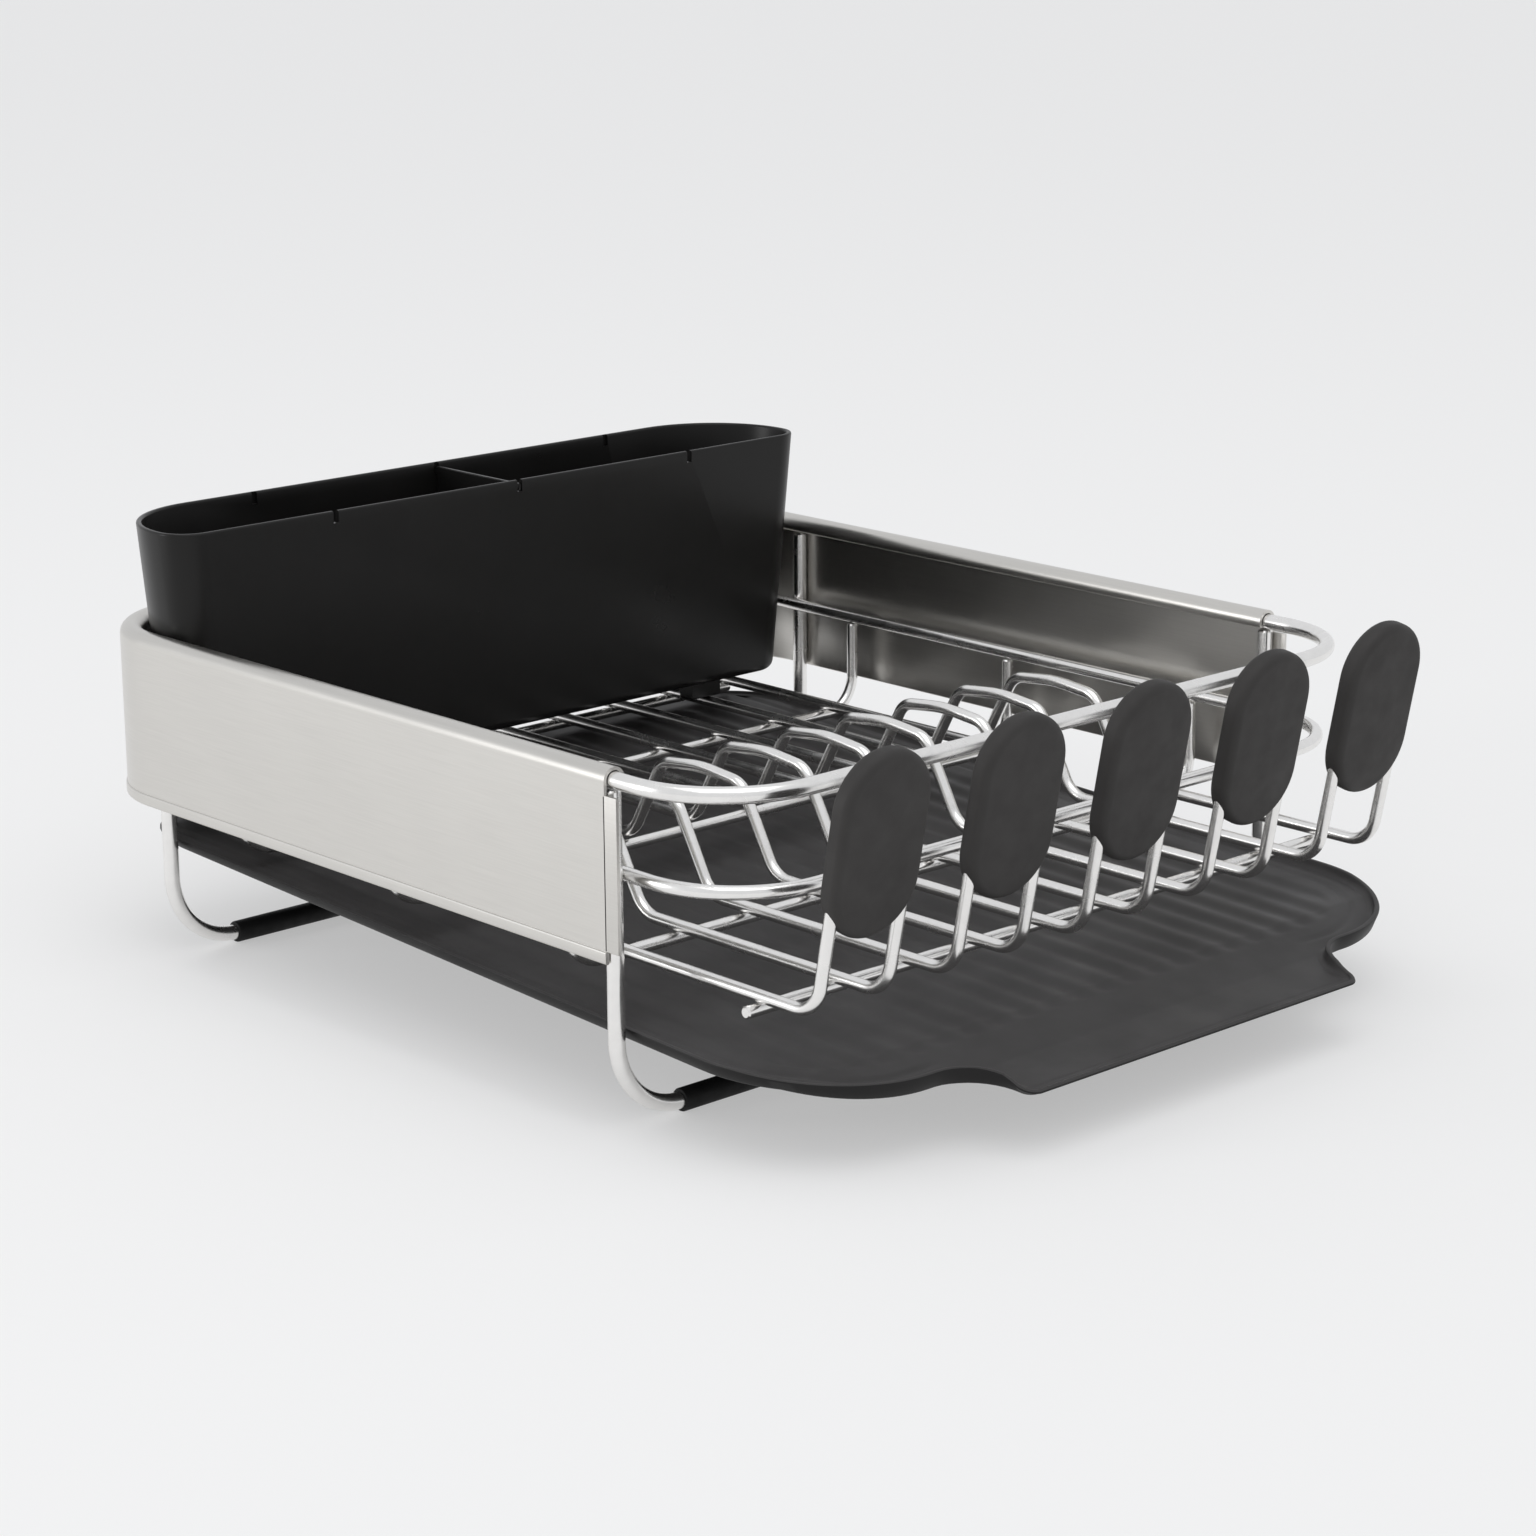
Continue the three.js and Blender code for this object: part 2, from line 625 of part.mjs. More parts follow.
function caddyDrainHoles() {
  const perSide = 5
  const holes = []
  for (const y of [-CADDY.footHalfSpacing / 2, CADDY.footHalfSpacing / 2]) {
    for (let index = -perSide; index <= perSide; index += 1) {
      if (index === 0) continue
      const hole = roundShape(CADDY.drainHoleRadius, 8)
      const drill = prismSolid(hole, CADDY.bottomZ - 1, CADDY.bottomZ + CADDY.wall + 1)
      holes.push(drill.translate([index * CADDY.drainHolePitch, y, 0]))
    }
  }
  return holes
}

// Notches for the divider's ears at each place it can stand: through the front wall and half way
// into the rear wall
function dividerNotches() {
  const halfWidth = DIVIDER.thickness / 2 + GAP
  const bottomZ = CADDY.rimZ - DIVIDER.dropBelowRim - DIVIDER.earHeight - GAP
  const frontY = -CADDY.rimHalfDepth - 1
  const rearY = caddyHalfDepth(bottomZ) - CADDY.wall / 2
  return DIVIDER.placeX.map((placeX) => {
    const x = placeX - CADDY.centreX
    return boxSolid([x - halfWidth, frontY, bottomZ], [x + halfWidth, rearY, CADDY.rimZ + 1])
  })
}

function addCaddy() {
  const aboveRim = boxSolid([-200, -60, CADDY.rimZ], [200, 60, CADDY.rimZ + 60])
  const cavity = drafted(CADDY.wall, CADDY.bottomZ + CADDY.wall, CADDY.rimZ + 10)
  let caddy = drafted(0, CADDY.bottomZ, CADDY.rimZ + 10).subtract(aboveRim).subtract(cavity)
  for (const foot of caddyFeet()) caddy = caddy.add(foot)
  for (const cut of [...caddyDrainHoles(), ...dividerNotches()]) caddy = caddy.subtract(cut)
  const mesh = addPiece('caddy_tub', toGeometry(caddy), blackPlastic())
  mesh.position.set(CADDY.centreX, CADDY.centreY, 0)
}

function addCaddyDivider() {
  const top = CADDY.rimZ - DIVIDER.dropBelowRim
  const earBottom = top - DIVIDER.earHeight
  const bottom = CADDY.bottomZ + CADDY.wall + CADDY.bottomRound + DIVIDER.bottomGap
  const insideAt = (z) => caddyHalfDepth(z) - CADDY.wall - 2 * GAP
  const frontEar = caddyHalfDepth(earBottom)
  const rearEar = frontEar - CADDY.wall / 2 - GAP
  const profile = [
    [insideAt(bottom), bottom],
    [insideAt(earBottom), earBottom],
    [rearEar, earBottom],
    [rearEar, top],
    [-frontEar, top],
    [-frontEar, earBottom],
    [-insideAt(earBottom), earBottom],
    [-insideAt(bottom), bottom],
  ]
  const divider = acrossSolid(profile, -DIVIDER.thickness / 2, DIVIDER.thickness / 2)
  const mesh = addPiece('caddy_divider', toGeometry(divider), blackPlastic())
  mesh.position.y = CADDY.centreY
}

addRimWire()
addWrapBand()
addMidRail()
addLegs()
addHolders()
addCrossWires()
addDrainTray()
addCaddy()
addCaddyDivider()

export default rack
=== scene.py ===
"""Looks of a countertop dish drying rack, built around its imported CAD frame.

Lengths are millimetres up to the point where a mesh is made. X runs across the rack, the glass
holders and the spout are at the front (-Y), the caddy is at the rear and the counter is z = 0.
"""

import math

import bmesh
import bpy
from mathutils import Matrix, Quaternion, Vector


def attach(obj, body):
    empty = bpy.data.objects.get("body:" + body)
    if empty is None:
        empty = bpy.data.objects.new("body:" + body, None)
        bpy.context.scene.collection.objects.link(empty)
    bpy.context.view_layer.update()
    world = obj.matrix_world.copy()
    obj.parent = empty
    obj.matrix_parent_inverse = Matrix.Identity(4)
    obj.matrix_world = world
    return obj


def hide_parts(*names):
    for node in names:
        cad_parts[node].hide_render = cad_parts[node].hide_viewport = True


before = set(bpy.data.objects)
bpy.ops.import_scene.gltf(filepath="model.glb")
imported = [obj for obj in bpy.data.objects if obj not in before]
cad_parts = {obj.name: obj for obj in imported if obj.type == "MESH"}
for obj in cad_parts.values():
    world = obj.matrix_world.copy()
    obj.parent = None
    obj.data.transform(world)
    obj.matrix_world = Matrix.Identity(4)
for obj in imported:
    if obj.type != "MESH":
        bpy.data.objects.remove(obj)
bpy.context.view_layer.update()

# ---------------------------------------------------------------- driving dimensions
MM = 0.001
THICK_WIRE = 3.0  # radii of the three wire stocks
RAIL_WIRE = 2.5
THIN_WIRE = 2.25
WIRE_SIDES = 20
SLEEVE_SIDES = 48
END_ROUND = 0.6
BEND_STEP = math.radians(5)

RIM = {"half_width": 165.5, "front_y": -151, "rear_y": 209.5, "corner_radius": 40, "z": 122.7}
MID_RAIL = {"half_width": 159.7, "front_y": -151, "rear_y": 170, "corner_radius": 38, "z": 89}
LEG = {"top_z": 119.4, "bottom_z": 4.15, "bend_radius": 28, "front_y": -100, "rear_y": 162}
SLEEVE = {"radius": 4.15, "bore": 3.1, "length": 60, "outer_end_x": 138, "edge_round": 0.8}

# Sheet wrap: distances outwards from the rim wire's axis
SHEET_INSIDE = 3.3
SHEET_OUTSIDE = 4.5
WRAP = {
    "bottom_z": 59.9,
    "front_y": -107,
    "roll_setback": 6,
    "roll_end": math.radians(200),
    "hem_height": 4.5,
    "hem_outside": 5.0,
}

WIRE_PITCH = 31.6
HOLDER_COUNT = 5
FLOOR_Z = 53.6
FLOOR_REAR_Y = 196
FLOOR_BEND = 12
ARCH = {
    "centre_y": -11.5,
    "foot_half_span": 39.5,
    "shoulder_half_span": 21.8,
    "shoulder_z": 85.4,
    "crest_z": 87.7,
    "shoulder_radius": 9,
    "crest_radius": 60,
}
LOOP = {"foot_y": -172.4, "lean": math.radians(11), "rise": 87.4, "bend_radius": 15.5}
PAD = {"half_width": 19.6, "length": 66, "thickness": 9, "edge_round": 3, "crown": 0.35}

CROSS_Z = 48.8
CROSS = {
    "half_width": 148,
    "front_y": -144.5,
    "rear_y": 190,
    "bent_y": (-68, 31, 123),
    "bend_radius": 15,
    "top_z": 86.2,
}

TRAY = {
    "half_width": 161.5,
    "rear_y": 203,
    "rear_radius": 40,
    "front_y": -190.5,
    "front_radius": 54,
    "spout_half_width": 86.3,
    "fillet_radius": 18,
    "spout_radius": 6,
    "lip_y": -214.5,
    "floor": 1.8,
}
# Lines seen from the side, as (y, z) points
TRAY_UNDERSIDE = ((203, 44), (-165, 28.2), (-190, 23.2), (-214.5, 21.2))
TRAY_RIM = (
    (203, 46.2), (125, 46), (-150, 33.7), (-185, 30.2),
    (-196, 29), (-203, 27.5), (-208, 25), (-214.5, 23),
)
GROOVE = {"pitch": 13.5, "per_side": 10, "depth": 0.8, "rear_y": 184, "setback": 18, "taper": 5}
# A shallow channel that follows the foot of the wall and fades out beside the spout
CHANNEL = {"setback": 11, "half_width": 2.4, "depth": 0.6, "start_x": 92, "fade": 16}
RUNNER = {"x": 60, "thickness": 3, "front_y": -115, "rear_y": 172, "foot_z": 7.45}

CADDY = {
    "centre_x": -3.5,
    "centre_y": 177.6,
    "bottom_z": 63.4,
    "rim_z": 166.5,
    "bottom_half_length": 150.5,
    "rim_half_length": 160.5,
    "bottom_half_depth": 24.8,
    "rim_half_depth": 28.2,
    "front_radius": 12,
    "rear_radius": 36,
    "wall": 2.2,
    "bottom_round": 4,
    "rim_round": 0.9,
    "foot_bottom_z": 56.2,
    "foot_half_spacing": 15,
    "foot_length": 16,
    "foot_width": 8,
    "drain_hole_radius": 3,
    "drain_hole_pitch": 22,
    "drain_holes_per_side": 5,
}
DIVIDER = {
    "half_thickness": 0.9,
    "edge_round": 0.35,
    "drop": 1.5,
    "ear_height": 3,
    "bottom_z": 70.6,
    "slack": 0.6,
    "notch_gap": 0.3,
    "places_x": (-91, 0, 91),
}


# ---------------------------------------------------------------- mesh helpers
def face_outwards(mesh):
    solid = bmesh.new()
    solid.from_mesh(mesh)
    bmesh.ops.recalc_face_normals(solid, faces=solid.faces)
    solid.to_mesh(mesh)
    solid.free()


def add_piece(name, vertices, faces, body, node, slot, material, sharp_angle=40):
    """A mesh from millimetre vertices that rides on a body and stands for a CAD node."""
    mesh = bpy.data.meshes.new(name)
    mesh.from_pydata([Vector(v) * MM for v in vertices], [], faces)
    mesh.validate()
    face_outwards(mesh)
    mesh.shade_smooth()
    mesh.set_sharp_from_angle(angle=math.radians(sharp_angle))
    mesh.materials.append(material)
    piece = bpy.data.objects.new(name, mesh)
    bpy.context.scene.collection.objects.link(piece)
    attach(piece, body)
    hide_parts(node)
    return piece


def ring_faces(ring_count, ring_size, closed_ring=True, closed_loop=False):
    """Quads between rings of vertices that follow one another."""
    faces = []
    last_side = ring_size if closed_ring else ring_size - 1
    last_ring = ring_count if closed_loop else ring_count - 1
    for ring in range(last_ring):
        here = ring * ring_size
        there = (ring + 1) % ring_count * ring_size
        for side in range(last_side):
            after = (side + 1) % ring_size
            faces.append((here + side, here + after, there + after, there + side))
    return faces


def joined(*shells):
    """Several (vertices, faces) shells as one."""
    vertices, faces = [], []
    for shell_vertices, shell_faces in shells:
        first = len(vertices)
        vertices += list(shell_vertices)
        faces += [tuple(first + corner for corner in face) for face in shell_faces]
    return vertices, faces


def loft(rings):
    """A closed shell through rings of equal size, with a flat face at each end."""
    size = len(rings[0])
    vertices = [point for ring in rings for point in ring]
    last = len(vertices) - size
    ends = [tuple(range(size)), tuple(range(last, last + size))]
    return vertices, ring_faces(len(rings), size) + ends


def arc(centre_x, centre_y, radius, start, end, pieces):
    """Points of an arc in a plane, both ends included."""
    angles = [start + (end - start) * k / pieces for k in range(pieces + 1)]
    return [(centre_x + radius * math.cos(a), centre_y + radius * math.sin(a)) for a in angles]


def height_at(line, y):
    """Height at y of a line of (y, z) points in falling order of y."""
    for (y0, z0), (y1, z1) in zip(line, line[1:]):
        if y >= y1:
            return z0 + (z1 - z0) * (y - y0) / (y1 - y0)
    return line[-1][1]


def prism_along_x(profile, low_x, high_x):
    """A (y, z) profile extruded across X."""
    return loft([[(x, y, z) for y, z in profile] for x in (low_x, high_x)])


# ---------------------------------------------------------------- wires
def corner(x, y, z, radius=0.0):
    return Vector((x, y, z)), radius


def bend(before, at, after, radius):
    """Stations (point, tangent) of the arc that rounds a corner of a path."""
    arriving = (at - before).normalized()
    leaving = (after - at).normalized()
    turn = arriving.angle(leaving)
    start = at - arriving * radius * math.tan(turn / 2)
    axis = arriving.cross(leaving).normalized()
    centre = start + axis.cross(arriving) * radius
    pieces = max(3, math.ceil(turn / BEND_STEP))
    stations = []
    for piece in range(pieces + 1):
        turned = Quaternion(axis, turn * piece / pieces)
        stations.append((centre + turned @ (start - centre), turned @ arriving))
    return stations


def stations_of(corners, closed=False):
    """Stations of straight runs joined by arcs."""
    stations = []
    count = len(corners)
    for index, (at, radius) in enumerate(corners):
        if closed or 0 < index < count - 1:
            stations += bend(corners[index - 1][0], at, corners[(index + 1) % count][0], radius)
            continue
        neighbour = corners[1][0] if index == 0 else corners[-2][0]
        tangent = (neighbour - at) if index == 0 else (at - neighbour)
        stations.append((at.copy(), tangent.normalized()))
    return stations


def tube(corners, radius, closed=False):
    """A round wire along a path, with its cut ends slightly rounded."""
    stations = [(point, tangent, radius) for point, tangent in stations_of(corners, closed)]
    if not closed:
        first, last = stations[0], stations[-1]
        small = radius - END_ROUND
        inner_first = (first[0] + first[1] * END_ROUND, first[1], radius)
        inner_last = (last[0] - last[1] * END_ROUND, last[1], radius)
        stations = [(*first[:2], small), inner_first, *stations[1:-1], inner_last, (*last[:2], small)]
    normal = stations[0][1].orthogonal().normalized()
    before = stations[0][1]
    rings = []
    for point, tangent, ring_radius in stations:
        normal = before.rotation_difference(tangent) @ normal
        side = tangent.cross(normal)
        before = tangent
        ring = []
        for index in range(WIRE_SIDES):
            angle = 2 * math.pi * index / WIRE_SIDES
            ring.append(point + (normal * math.cos(angle) + side * math.sin(angle)) * ring_radius)
        rings.append(ring)
    if not closed:
        return loft(rings)
    vertices = [point for ring in rings for point in ring]
    return vertices, ring_faces(len(rings), WIRE_SIDES, closed_loop=True)


def add_wire(name, corners, radius, closed=False):
    vertices, faces = tube(corners, radius, closed)
    return add_piece(f"{name}_look", vertices, faces, "rack", name, "polished_wire", WIRE_STEEL)


def rim_corners():
    half_width, z, radius = RIM["half_width"], RIM["z"], RIM["corner_radius"]
    return [
        corner(-half_width, RIM["front_y"], z, radius),
        corner(-half_width, RIM["rear_y"], z, radius),
        corner(half_width, RIM["rear_y"], z, radius),
        corner(half_width, RIM["front_y"], z, radius),
    ]


def add_mid_rail():
    half_width, z, radius = MID_RAIL["half_width"], MID_RAIL["z"], MID_RAIL["corner_radius"]
    add_wire("mid_rail", [
        corner(-half_width, MID_RAIL["rear_y"], z),
        corner(-half_width, MID_RAIL["front_y"], z, radius),
        corner(half_width, MID_RAIL["front_y"], z, radius),
        corner(half_width, MID_RAIL["rear_y"], z),
    ], RAIL_WIRE)


def add_leg_frame(name, y):
    half_width, radius = RIM["half_width"], LEG["bend_radius"]
    add_wire(name, [
        corner(-half_width, y, LEG["top_z"]),
        corner(-half_width, y, LEG["bottom_z"], radius),
        corner(half_width, y, LEG["bottom_z"], radius),
        corner(half_width, y, LEG["top_z"]),
    ], THICK_WIRE)


def add_sleeve(name, side, y):
    """A rubber tube on the leg frame's cross bar: outside, then back through the bore."""
    outer, bore, edge = SLEEVE["radius"], SLEEVE["bore"], SLEEVE["edge_round"]
    near = side * (SLEEVE["outer_end_x"] - SLEEVE["length"])
    far = side * SLEEVE["outer_end_x"]
    outline = [
        (near, bore), (near, outer - edge), (near + side * edge * 0.3, outer - edge * 0.3),
        (near + side * edge, outer), (far - side * edge, outer),
        (far - side * edge * 0.3, outer - edge * 0.3), (far, outer - edge), (far, bore),
    ]
    rings = []
    for x, radius in outline:
        points = arc(0, 0, radius, 0, 2 * math.pi, SLEEVE_SIDES)[:-1]
        rings.append([(x, y + across, LEG["bottom_z"] + up) for across, up in points])
    vertices = [point for ring in rings for point in ring]
    faces = ring_faces(len(rings), SLEEVE_SIDES, closed_loop=True)
    add_piece(f"{name}_look", vertices, faces, "rack", name, "black_rubber", SLEEVE_RUBBER)


def loop_point(x, rise):
    """A point on the leaning plane of the glass-holder loops."""
    y = LOOP["foot_y"] - rise * math.sin(LOOP["lean"])
    return Vector((x, y, FLOOR_Z + rise * math.cos(LOOP["lean"])))


def floor_wire(x):
    """One floor wire from its rear end, over the arch, to the foot of its loop."""
    middle, foot, shoulder = ARCH["centre_y"], ARCH["foot_half_span"], ARCH["shoulder_half_span"]
    shoulder_z, shoulder_radius = ARCH["shoulder_z"], ARCH["shoulder_radius"]
    return [
        corner(x, FLOOR_REAR_Y, FLOOR_Z),
        corner(x, middle + foot, FLOOR_Z, FLOOR_BEND),
        corner(x, middle + shoulder, shoulder_z, shoulder_radius),
        corner(x, middle, ARCH["crest_z"], ARCH["crest_radius"]),
        corner(x, middle - shoulder, shoulder_z, shoulder_radius),
        corner(x, middle - foot, FLOOR_Z, FLOOR_BEND),
        corner(x, LOOP["foot_y"], FLOOR_Z, FLOOR_BEND),
    ]


def add_wire_pair(name, centre_x):
    half_pitch = WIRE_PITCH / 2
    sides = (-half_pitch, half_pitch)
    loop = [(loop_point(centre_x + side, LOOP["rise"]), LOOP["bend_radius"]) for side in sides]
    rear_to_front = floor_wire(centre_x - half_pitch)
    front_to_rear = floor_wire(centre_x + half_pitch)[::-1]
    add_wire(name, [*rear_to_front, *loop, *front_to_rear], THIN_WIRE)


def add_cross_wires():
    half_width = CROSS["half_width"]
    for end in ("front", "rear"):
        y = CROSS[f"{end}_y"]
        ends = [corner(-half_width, y, CROSS_Z), corner(half_width, y, CROSS_Z)]
        add_wire(f"cross_wire_{end}", ends, THIN_WIRE)
    side_x, radius = MID_RAIL["half_width"], CROSS["bend_radius"]
    for index, y in enumerate(CROSS["bent_y"]):
        add_wire(f"cross_wire_middle_{index + 1}", [
            corner(-side_x, y, CROSS["top_z"]),
            corner(-side_x, y, CROSS_Z, radius),
            corner(side_x, y, CROSS_Z, radius),
            corner(side_x, y, CROSS["top_z"]),
        ], THIN_WIRE)


# ---------------------------------------------------------------- sheet wrap
def hem_section():
    """The folded bottom edge, from the inside round to the outside."""
    round_radius = (WRAP["hem_outside"] - SHEET_INSIDE) / 2
    middle = (WRAP["hem_outside"] + SHEET_INSIDE) / 2
    top = WRAP["bottom_z"] + WRAP["hem_height"]
    step = WRAP["hem_outside"] - SHEET_OUTSIDE
    under = arc(middle, WRAP["bottom_z"] + round_radius, round_radius, math.pi, 2 * math.pi, 8)
    shoulder = arc(SHEET_OUTSIDE, top - step, step, 0, math.pi / 2, 4)
    return under + shoulder


def roll_section():
    """The top edge, rolled over the rim wire, with a rounded free end."""
    z, end = RIM["z"], WRAP["roll_end"]
    lip = (SHEET_OUTSIDE + SHEET_INSIDE) / 2
    lip_radius = (SHEET_OUTSIDE - SHEET_INSIDE) / 2
    outside = arc(0, z, SHEET_OUTSIDE, 0, end, 40)
    free_end = arc(lip * math.cos(end), z + lip * math.sin(end), lip_radius, end, end + math.pi, 6)
    inside = arc(0, z, SHEET_INSIDE, end, 0, 40)
    return outside + free_end[1:-1] + inside


def plain_section():
    """The flat sheet between hem and roll, at its front edge."""
    low = WRAP["bottom_z"] + WRAP["hem_height"]
    high = RIM["z"] - SHEET_OUTSIDE
    edge = 0.3
    corners = [
        (SHEET_OUTSIDE - edge, low + edge, -0.5),
        (SHEET_OUTSIDE - edge, high - edge, 0),
        (SHEET_INSIDE + edge, high - edge, 0.5),
        (SHEET_INSIDE + edge, low + edge, 1),
    ]
    section = []
    for outwards, z, start in corners:
        section += arc(outwards, z, edge, start * math.pi, (start + 0.5) * math.pi, 3)
    return section


def swept_wrap(section, start_y, end_y=None):
    """A section carried round the rack, or along both sides only if end_y is given."""
    half_width = RIM["half_width"]
    if end_y is None:
        front_left, rear_left, rear_right, front_right = rim_corners()
        left = corner(front_left[0].x, start_y, 0)
        right = corner(front_right[0].x, start_y, 0)
        flat = [(Vector((at.x, at.y, 0)), radius) for at, radius in (rear_left, rear_right)]
        paths = [[left, *flat, right]]
    else:
        paths = [
            [corner(-half_width, start_y, 0), corner(-half_width, end_y, 0)],
            [corner(half_width, end_y, 0), corner(half_width, start_y, 0)],
        ]
    up = Vector((0, 0, 1))
    shells = []
    for path in paths:
        rings = []
        for point, tangent in stations_of(path):
            outward = up.cross(tangent)
            rings.append([point + outward * distance + up * z for distance, z in section])
        shells.append(loft(rings))
    return joined(*shells)


def add_wrap():
    front = WRAP["front_y"]
    overlap = 0.5
    whole = swept_wrap(hem_section() + roll_section(), front + WRAP["roll_setback"])
    tongue = swept_wrap(plain_section(), front, front + WRAP["roll_setback"] + overlap)
    vertices, faces = joined(whole, tongue)
    add_piece("wrap_band_look", vertices, faces, "rack", "wrap_band", "satin_sheet", SHEET_STEEL)


# ---------------------------------------------------------------- glass-holder pads
def stadium(half_width, half_length, pieces):
    """A stadium in a plane, long along its second axis."""
    straight = half_length - half_width
    top = arc(0, straight, half_width, 0, math.pi, pieces)
    bottom = arc(0, -straight, half_width, math.pi, 2 * math.pi, pieces)
    return top + bottom


def pad_shell():
    """A pad lying flat: rounded edges and a slight crown on both faces."""
    half_thickness = PAD["thickness"] / 2
    edge = PAD["edge_round"]
    levels = [(edge + 14, half_thickness), (edge + 7, half_thickness - PAD["crown"] * 0.3)]
    face = half_thickness - PAD["crown"]
    for step in range(9):
        angle = math.pi / 2 * step / 8
        levels.append((edge * (1 - math.sin(angle)), face - edge * (1 - math.cos(angle))))
    levels += [(inset, -height) for inset, height in reversed(levels)]
    rings = []
    for inset, height in levels:
        outline = stadium(PAD["half_width"] - inset, PAD["length"] / 2 - inset, 28)
        rings.append([(x, y, height) for x, y in outline])
    return loft(rings)


def add_pad(name, centre_x):
    top_rise = LOOP["rise"] + PAD["half_width"] - WIRE_PITCH / 2
    middle = loop_point(centre_x, top_rise - PAD["length"] / 2)
    place = Matrix.Translation(middle) @ Matrix.Rotation(math.pi / 2 + LOOP["lean"], 4, "X")
    flat, faces = pad_shell()
    vertices = [place @ Vector(point) for point in flat]
    add_piece(f"{name}_look", vertices, faces, "rack", name, "charcoal_rubber", PAD_RUBBER, 60)


# ---------------------------------------------------------------- drain tray
def tray_half_outline(inset):
    """Right half of the tray's outline from the rear to the middle of the lip, seen from above."""
    quarter = math.pi / 2
    rear, front, spout = TRAY["rear_radius"], TRAY["front_radius"], TRAY["spout_radius"]
    fillet = TRAY["fillet_radius"]
    rear_centre = (TRAY["half_width"] - rear, TRAY["rear_y"] - rear)
    front_centre = (TRAY["half_width"] - front, TRAY["front_y"] + front)
    fillet_centre = (TRAY["spout_half_width"] + fillet, TRAY["front_y"] - fillet)
    spout_centre = (TRAY["spout_half_width"] - spout, TRAY["lip_y"] + spout)
    outline = arc(*rear_centre, rear - inset, quarter, 0, 12)
    outline += arc(*front_centre, front - inset, 0, -quarter, 30)
    outline += arc(*fillet_centre, fillet + inset, quarter, 2 * quarter, 10)
    outline += arc(*spout_centre, spout - inset, 0, -quarter, 12)
    return outline


def underside(y):
    return height_at(TRAY_UNDERSIDE, y)


def tray_floor(y):
    return underside(y) + TRAY["floor"]


def tray_rim(y):
    return height_at(TRAY_RIM, y)


def tray_ring(inset, height):
    """The whole outline at an inset, right side first, lifted by a height that depends on y."""
    right = tray_half_outline(inset)
    left = [(-x, y) for x, y in reversed(right)]
    return [(x, y, height(y)) for x, y in right + left]


def tray_sheet(ring):
    """Fills a ring with strips that run across the tray."""
    half = len(ring) // 2
    size = len(ring)
    faces = []
    upper = [0]
    for index in range(1, half):
        upper.append(index)
        if abs(ring[index][1] - ring[index - 1][1]) < 1e-6 and index < half - 1:
            continue
        following = index + 1 < half and abs(ring[index + 1][1] - ring[index][1]) < 1e-6
        if following:
            continue
        mirrored = [size - 1 - corner_index for corner_index in reversed(upper)]
        faces.append(tuple(upper + mirrored))
        upper = [index]
    return list(ring), faces


def stops(start, end, step):
    """Falling y values from start to end, both included."""
    count = round((start - end) / step)
    return [start - (start - end) * k / count for k in range(count + 1)]


def eased(share):
    """Rises smoothly from 0 to 1 while share does."""
    return math.sin(math.pi / 2 * min(1.0, max(0.0, share)))


def groove_dip(x, y):
    """Depth of the long grooves, whose front ends follow the tray's rounded corners."""
    if abs(x) > (GROOVE["per_side"] + 0.5) * GROOVE["pitch"]:
        return 0.0
    corner_y = TRAY["front_y"] + TRAY["front_radius"]
    inside_corner = max(0.0, abs(x) - (TRAY["half_width"] - TRAY["front_radius"]))
    reach = TRAY["front_radius"] - GROOVE["setback"]
    front_y = corner_y - math.sqrt(reach ** 2 - inside_corner ** 2)
    to_end = min(y - front_y, GROOVE["rear_y"] - y)
    return GROOVE["depth"] * eased(to_end / GROOVE["taper"]) * math.cos(math.pi * x / GROOVE["pitch"]) ** 2


def channel_dip(x, y):
    """Depth of the channel along the foot of the wall."""
    radius = TRAY["front_radius"]
    beside = max(0.0, abs(x) - (TRAY["half_width"] - radius))
    ahead = max(0.0, TRAY["front_y"] + radius - y)
    to_wall = radius - math.hypot(beside, ahead)
    share = (to_wall - CHANNEL["setback"]) / CHANNEL["half_width"]
    if abs(share) > 1:
        return 0.0
    fade = eased((abs(x) - CHANNEL["start_x"]) / CHANNEL["fade"])
    return CHANNEL["depth"] * fade * math.cos(share * math.pi / 2) ** 2


def tray_floor_top(inset):
    """The grooved upper face of the floor, inside the outline at an inset."""
    step_x = GROOVE["pitch"] / 10
    columns = math.ceil((TRAY["half_width"] - inset) / step_x)
    edge = [(y, x) for x, y in tray_half_outline(inset)]
    rear_y, lip_y = edge[0][0], edge[-1][0]
    rows = stops(rear_y, 150, 1) + stops(150, -130, 10)[1:] + stops(-130, lip_y, 1)[1:]
    vertices = []
    for y in rows:
        edge_x = height_at(edge, y)
        for column in range(-columns, columns + 1):
            x = max(-edge_x, min(edge_x, column * step_x))
            vertices.append((x, y, tray_floor(y) - groove_dip(x, y) - channel_dip(x, y)))
    return vertices, ring_faces(len(rows), 2 * columns + 1, closed_ring=False)


def tray_runners():
    front, rear, foot = RUNNER["front_y"], RUNNER["rear_y"], RUNNER["foot_z"]
    half = RUNNER["thickness"] / 2
    profile = [(rear, underside(rear) + 1), (rear, foot), (front, foot), (front, underside(front) + 1)]
    return [prism_along_x(profile, x - half, x + half) for x in (-RUNNER["x"], RUNNER["x"])]


